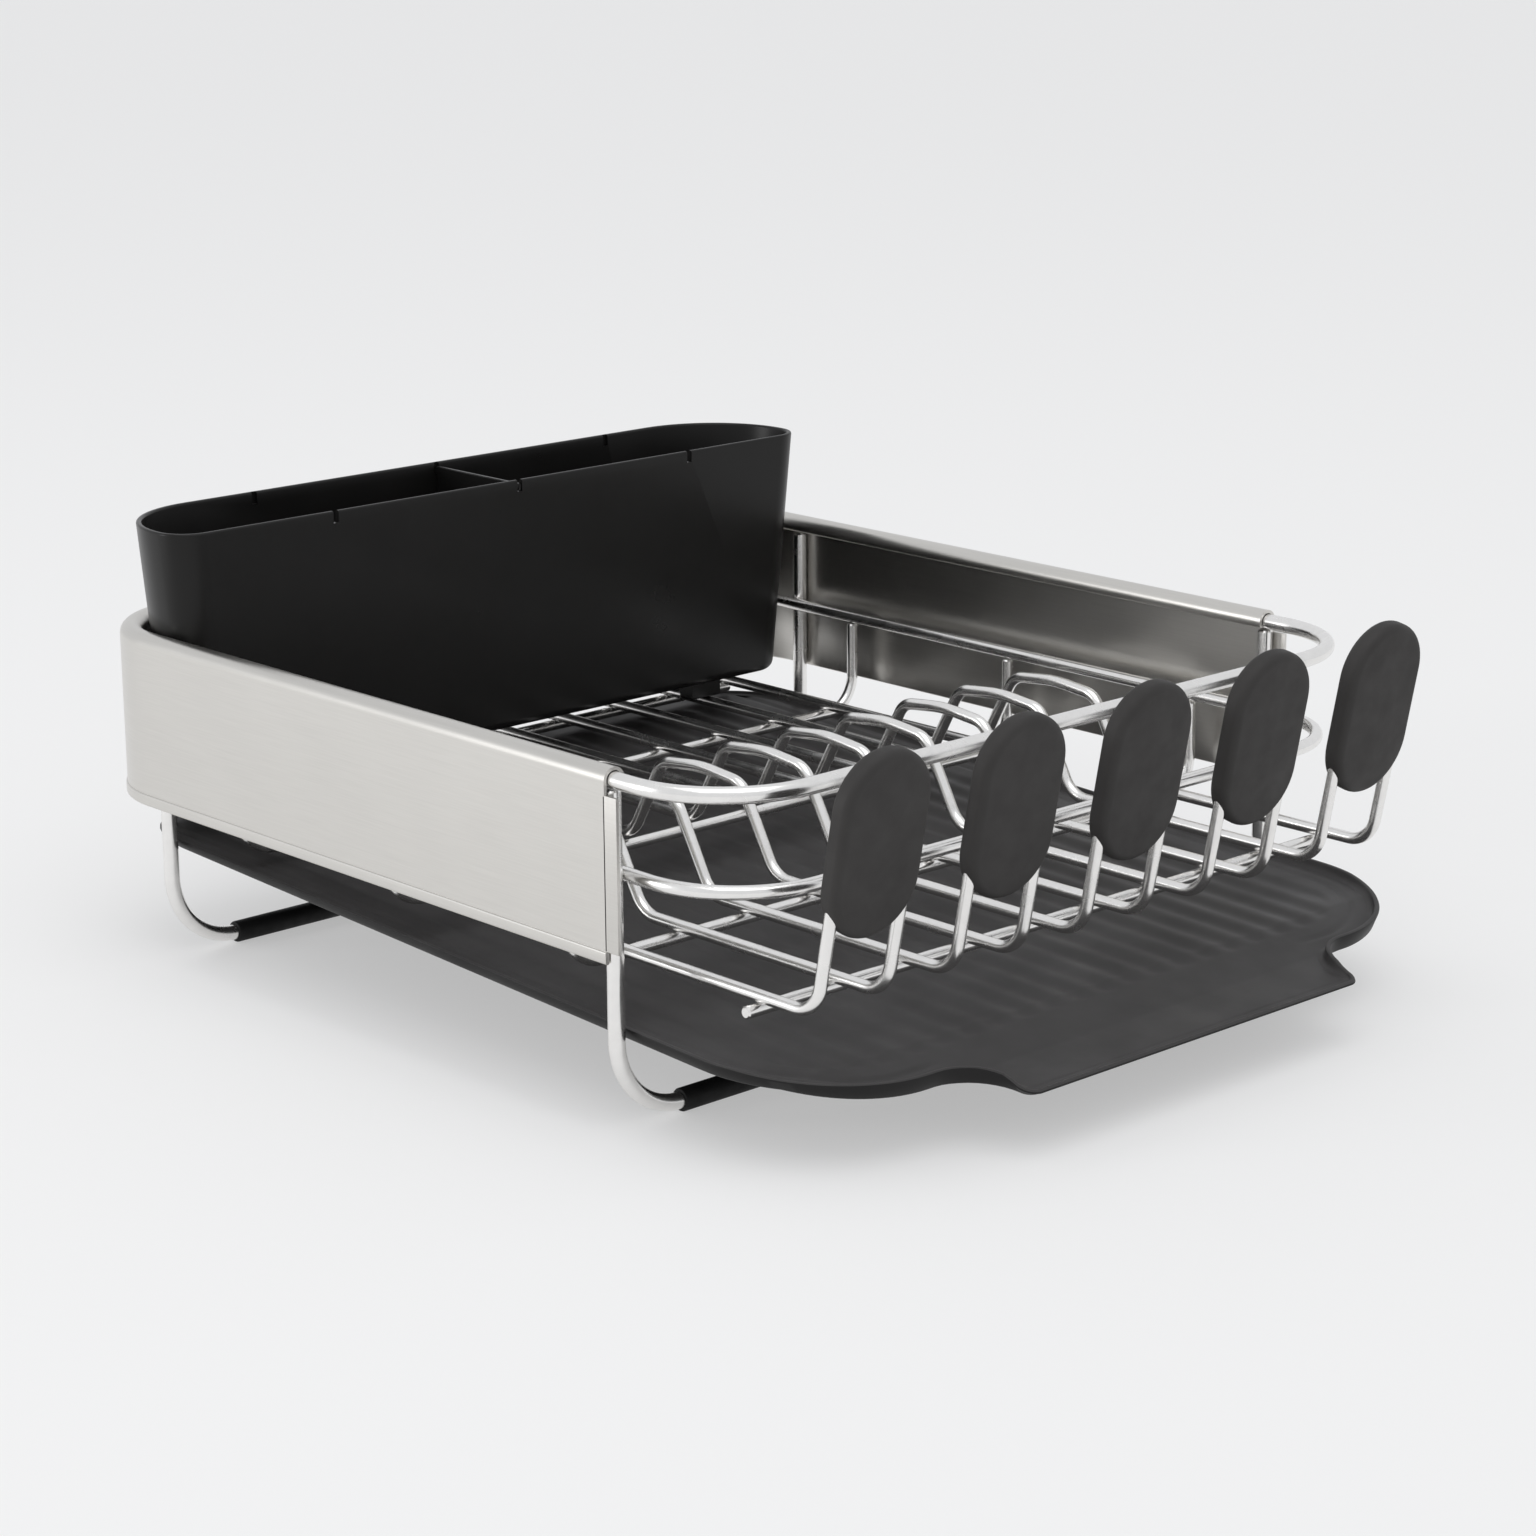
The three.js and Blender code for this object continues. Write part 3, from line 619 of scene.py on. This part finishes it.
def add_tray():
    """Two pieces: the smooth outside of the wall with the underside, darkened by painted shade, and the
    grained inside.
    """
    def wall_top(y):
        return max(tray_rim(y), tray_floor(y))

    edges = [
        (2.6, lambda y: underside(y)),
        (2.0, lambda y: underside(y) + 0.15),
        (1.6, lambda y: underside(y) + 0.6),
        (0.0, lambda y: wall_top(y) - 0.7),
        (0.2, lambda y: wall_top(y) - 0.2),
        (0.7, lambda y: wall_top(y)),
        (1.3, lambda y: wall_top(y)),
        (1.8, lambda y: max(wall_top(y) - 0.2, tray_floor(y))),
        (2.0, lambda y: max(wall_top(y) - 0.7, tray_floor(y))),
        (2.3, lambda y: max(min(wall_top(y) - 0.8, tray_floor(y) + 1.2), tray_floor(y))),
        (3.2, lambda y: max(min(wall_top(y) - 0.9, tray_floor(y) + 0.3), tray_floor(y))),
        (4.6, lambda y: tray_floor(y)),
    ]
    rings = [tray_ring(inset, height) for inset, height in edges]

    def wall(first, last):
        part = rings[first:last + 1]
        return [point for ring in part for point in ring], ring_faces(len(part), len(part[0]))

    rim_ring, last_ring = 4, len(rings) - 1
    floor_inset = edges[-1][0] - 0.3
    outside = joined(wall(0, rim_ring), tray_sheet(rings[0]), *tray_runners())
    inside = joined(wall(rim_ring, last_ring), tray_floor_top(floor_inset))
    slot = "charcoal_plastic"
    # The outside piece wears the inside's plastic darkened as painted shade
    add_piece("drain_tray_outside_look", *outside, "tray", "drain_tray", slot, TRAY_OUTSIDE_PAINTED_SHADE, 50)
    add_piece("drain_tray_inside_look", *inside, "tray", "drain_tray", slot, TRAY_PLASTIC, 50)


# ---------------------------------------------------------------- flatware caddy
def caddy_flare(z):
    """Share of the draft reached at a height, 0 at the bottom and 1 at the rim."""
    return (z - CADDY["bottom_z"]) / (CADDY["rim_z"] - CADDY["bottom_z"])


def caddy_half_depth(z):
    low, high = CADDY["bottom_half_depth"], CADDY["rim_half_depth"]
    return low + caddy_flare(z) * (high - low)


def caddy_ring(inset, z):
    """The caddy's outline at a height: tight front corners, wide rear ones, drafted walls."""
    quarter = math.pi / 2
    flare = caddy_flare(z)
    depth = caddy_half_depth(z)
    low, high = CADDY["bottom_half_length"], CADDY["rim_half_length"]
    length = low + flare * (high - low)
    growth = 1 + flare * (CADDY["rim_half_depth"] / CADDY["bottom_half_depth"] - 1)
    front, rear = CADDY["front_radius"] * growth, CADDY["rear_radius"] * growth
    outline = arc(length - rear, depth - rear, rear - inset, 0, quarter, 24)
    outline += arc(rear - length, depth - rear, rear - inset, quarter, 2 * quarter, 24)
    outline += arc(front - length, front - depth, front - inset, 2 * quarter, 3 * quarter, 16)
    outline += arc(length - front, front - depth, front - inset, 3 * quarter, 4 * quarter, 16)
    return [(CADDY["centre_x"] + x, CADDY["centre_y"] + y, z) for x, y in outline]


def quarter_round(radius, pieces):
    """(inset, rise) steps from the flat bottom to the upright wall."""
    angles = [math.pi / 2 * k / pieces for k in range(pieces + 1)]
    return [(radius * (1 - math.sin(a)), radius * (1 - math.cos(a))) for a in angles]


def caddy_shell():
    bottom, rim, wall = CADDY["bottom_z"], CADDY["rim_z"], CADDY["wall"]
    edge, lip = CADDY["bottom_round"], CADDY["rim_round"]
    levels = [(inset, bottom + rise) for inset, rise in quarter_round(edge, 8)]
    levels += [(inset, rim - rise) for inset, rise in reversed(quarter_round(lip, 5))]
    levels += [(wall - inset, rim - rise) for inset, rise in quarter_round(lip, 5)]
    levels += [(wall + inset, bottom + wall + rise) for inset, rise in reversed(quarter_round(edge, 8))]
    return loft([caddy_ring(inset, z) for inset, z in levels])


def caddy_feet():
    """Four small blocks that stand on the floor wires."""
    feet = []
    spread = 3.5 * WIRE_PITCH
    half_length, half_width = CADDY["foot_length"] / 2, CADDY["foot_width"] / 2
    levels = [(0.6, CADDY["foot_bottom_z"]), (0, CADDY["foot_bottom_z"] + 0.6), (0, CADDY["bottom_z"] + 1)]
    for x in (CADDY["centre_x"] - spread, CADDY["centre_x"] + spread):
        for offset in (-CADDY["foot_half_spacing"], CADDY["foot_half_spacing"]):
            y = CADDY["centre_y"] + offset
            rings = []
            for inset, z in levels:
                long, wide = half_length - inset, half_width - inset
                rings.append([(x - long, y - wide, z), (x + long, y - wide, z),
                              (x + long, y + wide, z), (x - long, y + wide, z)])
            feet.append(loft(rings))
    return feet


def caddy_cutters():
    """Drain holes, and notches for the divider: through the front wall, half way into the rear one."""
    cutters = []
    low, high = CADDY["bottom_z"] - 2, CADDY["bottom_z"] + CADDY["wall"] + 2
    per_side = CADDY["drain_holes_per_side"]
    for offset in (-CADDY["foot_half_spacing"] / 2, CADDY["foot_half_spacing"] / 2):
        for index in range(-per_side, per_side + 1):
            if index == 0:
                continue
            circle = arc(CADDY["centre_x"] + index * CADDY["drain_hole_pitch"],
                         CADDY["centre_y"] + offset, CADDY["drain_hole_radius"], 0, 2 * math.pi, 24)[:-1]
            cutters.append(loft([[(x, y, z) for x, y in circle] for z in (low, high)]))
    notch_bottom = CADDY["rim_z"] - DIVIDER["drop"] - DIVIDER["ear_height"] - DIVIDER["notch_gap"]
    half_width = DIVIDER["half_thickness"] + DIVIDER["notch_gap"]
    beyond_front = 40
    near = CADDY["centre_y"] - beyond_front
    far = CADDY["centre_y"] + caddy_half_depth(notch_bottom) - CADDY["wall"] / 2
    above = CADDY["rim_z"] + 5
    notch = [(near, notch_bottom), (far, notch_bottom), (far, above), (near, above)]
    for x in DIVIDER["places_x"]:
        cutters.append(prism_along_x(notch, x - half_width, x + half_width))
    return cutters


def cut_away(piece, shells):
    """Subtracts closed shells from a piece's mesh."""
    vertices, faces = joined(*shells)
    mesh = bpy.data.meshes.new("cutter")
    mesh.from_pydata([Vector(v) * MM for v in vertices], [], faces)
    face_outwards(mesh)
    cutter = bpy.data.objects.new("cutter", mesh)
    bpy.context.scene.collection.objects.link(cutter)
    modifier = piece.modifiers.new("holes", "BOOLEAN")
    modifier.operation = "DIFFERENCE"
    modifier.solver = "EXACT"
    modifier.object = cutter
    bpy.context.view_layer.update()
    evaluated = piece.evaluated_get(bpy.context.evaluated_depsgraph_get())
    result = bpy.data.meshes.new_from_object(evaluated)
    piece.modifiers.clear()
    piece.data = result
    result.shade_smooth()
    result.set_sharp_from_angle(angle=math.radians(35))
    bpy.data.objects.remove(cutter)


def add_caddy():
    vertices, faces = caddy_shell()
    tub = add_piece("caddy_tub_look", vertices, faces, "caddy", "caddy_tub", "black_plastic", CADDY_PLASTIC)
    cut_away(tub, caddy_cutters())
    vertices, faces = joined(*caddy_feet())
    add_piece("caddy_feet_look", vertices, faces, "caddy", "caddy_tub", "black_plastic", CADDY_PLASTIC)


def add_divider():
    """A thin upright sheet with an ear at each end of its top edge."""
    top = CADDY["rim_z"] - DIVIDER["drop"]
    ear_bottom = top - DIVIDER["ear_height"]
    bottom = DIVIDER["bottom_z"]
    inside = CADDY["wall"] + DIVIDER["slack"]
    bottom_end = caddy_half_depth(bottom) - inside
    top_end = caddy_half_depth(ear_bottom) - inside
    front_ear = caddy_half_depth(ear_bottom)
    rear_ear = front_ear - CADDY["wall"] / 2 - DIVIDER["slack"] / 2
    outline = [
        (bottom_end, bottom), (top_end, ear_bottom), (rear_ear, ear_bottom), (rear_ear, top),
        (-front_ear, top), (-front_ear, ear_bottom), (-top_end, ear_bottom), (-bottom_end, bottom),
    ]
    profile = [(CADDY["centre_y"] + y, z) for y, z in outline]
    vertices, faces = prism_along_x(profile, -DIVIDER["half_thickness"], DIVIDER["half_thickness"])
    sheet = add_piece("caddy_divider_look", vertices, faces, "divider", "caddy_divider",
                      "black_plastic", CADDY_PLASTIC)
    solid = bmesh.new()
    solid.from_mesh(sheet.data)
    bmesh.ops.bevel(solid, geom=solid.edges[:], offset=DIVIDER["edge_round"] * MM, segments=2, affect="EDGES")
    solid.to_mesh(sheet.data)
    solid.free()


# ---------------------------------------------------------------- materials
class Look:
    """A Principled material whose node tree is built up a layer at a time."""

    def __init__(self, name, colour, roughness, metallic=0.0, specular=0.5):
        self.material = bpy.data.materials.new(name)
        self.material.use_nodes = True
        self.tree = self.material.node_tree
        self.shader = self.tree.nodes["Principled BSDF"]
        self.shader.inputs["Base Color"].default_value = (*colour, 1)
        self.shader.inputs["Roughness"].default_value = roughness
        self.shader.inputs["Metallic"].default_value = metallic
        self.shader.inputs["Specular IOR Level"].default_value = specular
        self.colour = colour

    def node(self, kind, **inputs):
        node = self.tree.nodes.new(kind)
        for name, value in inputs.items():
            node.inputs[name.replace("_", " ")].default_value = value
        return node

    def noise(self, size_mm, detail=3.0, stretch=(1, 1, 1)):
        """Noise with features of about size_mm, in the piece's own coordinates."""
        place = self.node("ShaderNodeTexCoord")
        mapping = self.node("ShaderNodeMapping", Scale=stretch)
        texture = self.node("ShaderNodeTexNoise", Scale=1 / (size_mm * MM), Detail=detail)
        self.tree.links.new(place.outputs["Object"], mapping.inputs["Vector"])
        self.tree.links.new(mapping.outputs["Vector"], texture.inputs["Vector"])
        return texture.outputs["Fac"]

    def vary_colour(self, factor, low, high):
        """Base colour between two brightness levels of the main colour."""
        ramp = self.node("ShaderNodeMix", Factor=0.5)
        ramp.data_type = "RGBA"
        ramp.inputs["A"].default_value = (*[c * low for c in self.colour], 1)
        ramp.inputs["B"].default_value = (*[c * high for c in self.colour], 1)
        self.tree.links.new(factor, ramp.inputs["Factor"])
        self.tree.links.new(ramp.outputs["Result"], self.shader.inputs["Base Color"])

    def vary_roughness(self, factor, low, high):
        spread = self.node("ShaderNodeMapRange")
        spread.inputs["From Min"].default_value = 0.3
        spread.inputs["From Max"].default_value = 0.7
        spread.inputs["To Min"].default_value = low
        spread.inputs["To Max"].default_value = high
        self.tree.links.new(factor, spread.inputs["Value"])
        self.tree.links.new(spread.outputs["Result"], self.shader.inputs["Roughness"])

    def bump(self, factor, depth_mm, strength=1.0):
        relief = self.node("ShaderNodeBump", Strength=strength, Distance=depth_mm * MM)
        self.tree.links.new(factor, relief.inputs["Height"])
        self.tree.links.new(relief.outputs["Normal"], self.shader.inputs["Normal"])


def sheet_steel():
    """Satin stainless sheet: fine level brushing and faint smears."""
    look = Look("satin_sheet_steel", (0.66, 0.645, 0.615), 0.3, metallic=1.0)
    brushed = look.noise(0.5, detail=2, stretch=(0.02, 0.02, 1))
    look.vary_roughness(look.noise(35, detail=4), 0.28, 0.32)
    look.vary_colour(brushed, 0.94, 1.05)
    look.bump(brushed, 0.004)
    return look.material


def wire_steel():
    """Satin wire with faint drawing marks."""
    look = Look("satin_wire_steel", (0.87, 0.86, 0.845), 0.24, metallic=1.0)
    look.vary_roughness(look.noise(12, detail=4), 0.18, 0.3)
    look.vary_colour(look.noise(4, detail=4), 0.93, 1.05)
    look.bump(look.noise(0.7, detail=3), 0.008)
    return look.material


def pad_rubber():
    """Matte charcoal rubber with a fine moulded grain."""
    look = Look("pad_rubber", (0.036, 0.034, 0.033), 0.62, specular=0.25)
    look.vary_roughness(look.noise(9, detail=5), 0.52, 0.7)
    look.vary_colour(look.noise(14, detail=4), 0.85, 1.15)
    look.bump(look.noise(0.45, detail=4), 0.03)
    return look.material


def sleeve_rubber():
    """Black rubber tube, a little scuffed."""
    look = Look("sleeve_rubber", (0.006, 0.006, 0.006), 0.6, specular=0.25)
    look.vary_roughness(look.noise(5, detail=5), 0.5, 0.72)
    look.vary_colour(look.noise(6, detail=4), 0.75, 1.4)
    look.bump(look.noise(0.5, detail=3), 0.03)
    return look.material


def tray_plastic():
    """Charcoal polypropylene with a fine leather-like grain and dull water marks."""
    look = Look("tray_plastic", (0.042, 0.04, 0.04), 0.5, specular=0.25)
    look.vary_roughness(look.noise(28, detail=5), 0.42, 0.58)
    look.vary_colour(look.noise(40, detail=4), 0.9, 1.12)
    look.bump(look.noise(0.6, detail=4), 0.025)
    return look.material


def tray_outside_painted_shade():
    """Smoother plastic for the outside of the tray's wall and its underside; its darker colour is painted
    shade on the same plastic as the inside.
    """
    # Painted shade: base colour about a third of the inside plastic's, so the outer wall and underside read
    # dark
    look = Look("tray_outside_painted_shade_plastic", (0.012, 0.0115, 0.0115), 0.42, specular=0.2)
    look.vary_roughness(look.noise(28, detail=5), 0.36, 0.5)
    look.vary_colour(look.noise(40, detail=4), 0.88, 1.14)
    look.bump(look.noise(0.6, detail=3), 0.01)
    return look.material


def caddy_plastic():
    """Near-black plastic with a soft sheen."""
    look = Look("caddy_plastic", (0.008, 0.0076, 0.0073), 0.32, specular=0.24)
    look.vary_roughness(look.noise(30, detail=5), 0.27, 0.37)
    look.vary_colour(look.noise(50, detail=3), 0.85, 1.15)
    look.bump(look.noise(0.5, detail=3), 0.012)
    return look.material


SHEET_STEEL = sheet_steel()
WIRE_STEEL = wire_steel()
PAD_RUBBER = pad_rubber()
SLEEVE_RUBBER = sleeve_rubber()
TRAY_PLASTIC = tray_plastic()
TRAY_OUTSIDE_PAINTED_SHADE = tray_outside_painted_shade()
CADDY_PLASTIC = caddy_plastic()


# ---------------------------------------------------------------- studio
def add_studio():
    """A pale floor that fills the view, an even pale surround and soft area lights."""
    bpy.ops.mesh.primitive_plane_add(size=40, location=(0, 0, 0))
    floor = bpy.context.object
    floor.name = "studio_floor"
    paper = bpy.data.materials.new("studio_paper")
    paper.use_nodes = True
    paper_shader = paper.node_tree.nodes["Principled BSDF"]
    paper_shader.inputs["Base Color"].default_value = (PAPER, PAPER, PAPER, 1)
    paper_shader.inputs["Roughness"].default_value = 0.9
    paper_shader.inputs["Specular IOR Level"].default_value = 0.1
    paper_shader.inputs["Emission Color"].default_value = (1, 1, 1, 1)
    paper_shader.inputs["Emission Strength"].default_value = PAPER_GLOW
    floor.data.materials.append(paper)

    world = bpy.data.worlds.new("studio_surround")
    world.use_nodes = True
    surround = world.node_tree.nodes["Background"]
    surround.inputs["Color"].default_value = (0.97, 0.98, 1.0, 1)
    surround.inputs["Strength"].default_value = SURROUND
    bpy.context.scene.world = world

    for name, place, aim, width, height, power in SOFTBOXES:
        light = bpy.data.lights.new(name, "AREA")
        light.shape = "RECTANGLE"
        light.size = width
        light.size_y = height
        light.energy = power
        lamp = bpy.data.objects.new(name, light)
        lamp.location = place
        lamp.rotation_euler = (Vector(aim) - Vector(place)).to_track_quat("-Z", "Y").to_euler()
        bpy.context.scene.collection.objects.link(lamp)


PAPER = 0.44
PAPER_GLOW = 0.43
SURROUND = 0.8
# Name, place, the point it faces, width and height in metres, power in watts
SOFTBOXES = (
    ("overhead_softbox", (-0.35, -0.5, 2.2), (0, 0, 0.1), 2.0, 2.0, 13),
    ("left_strip", (-1.9, 1.1, 0.5), (0, 0, 0.1), 0.5, 0.9, 9),
)

CAMERA = {
    "place": (-0.9265, -0.9994, 0.4451),
    "heading": math.radians(42.72),
    "downward": math.radians(15.16),
    "roll": math.radians(-0.38),
    "lens": 87.37,
    "sensor": 36,
}


def add_camera():
    """Looks from the rack's front left, a little above it."""
    camera = bpy.data.cameras.new("camera")
    camera.lens = CAMERA["lens"]
    camera.sensor_width = CAMERA["sensor"]
    camera.clip_end = 100
    viewer = bpy.data.objects.new("camera", camera)
    bpy.context.scene.collection.objects.link(viewer)
    turn = Matrix.Rotation(-CAMERA["heading"], 4, "Z")
    tip = Matrix.Rotation(math.pi / 2 - CAMERA["downward"], 4, "X")
    roll = Matrix.Rotation(CAMERA["roll"], 4, "Z")
    viewer.matrix_world = Matrix.Translation(CAMERA["place"]) @ turn @ tip @ roll
    bpy.context.scene.camera = viewer


# ---------------------------------------------------------------- build
add_wire("rim_wire", rim_corners(), THICK_WIRE, closed=True)
add_mid_rail()
for end in ("front", "rear"):
    add_leg_frame(f"leg_frame_{end}", LEG[f"{end}_y"])
    add_sleeve(f"foot_sleeve_{end}_left", -1, LEG[f"{end}_y"])
    add_sleeve(f"foot_sleeve_{end}_right", 1, LEG[f"{end}_y"])
for holder in range(HOLDER_COUNT):
    holder_x = (holder - (HOLDER_COUNT - 1) / 2) * 2 * WIRE_PITCH
    add_wire_pair(f"floor_wire_pair_{holder + 1}", holder_x)
    add_pad(f"holder_pad_{holder + 1}", holder_x)
add_cross_wires()
add_wrap()
add_tray()
add_caddy()
add_divider()
add_studio()
add_camera()
bpy.context.scene.view_settings.view_transform = "Standard"
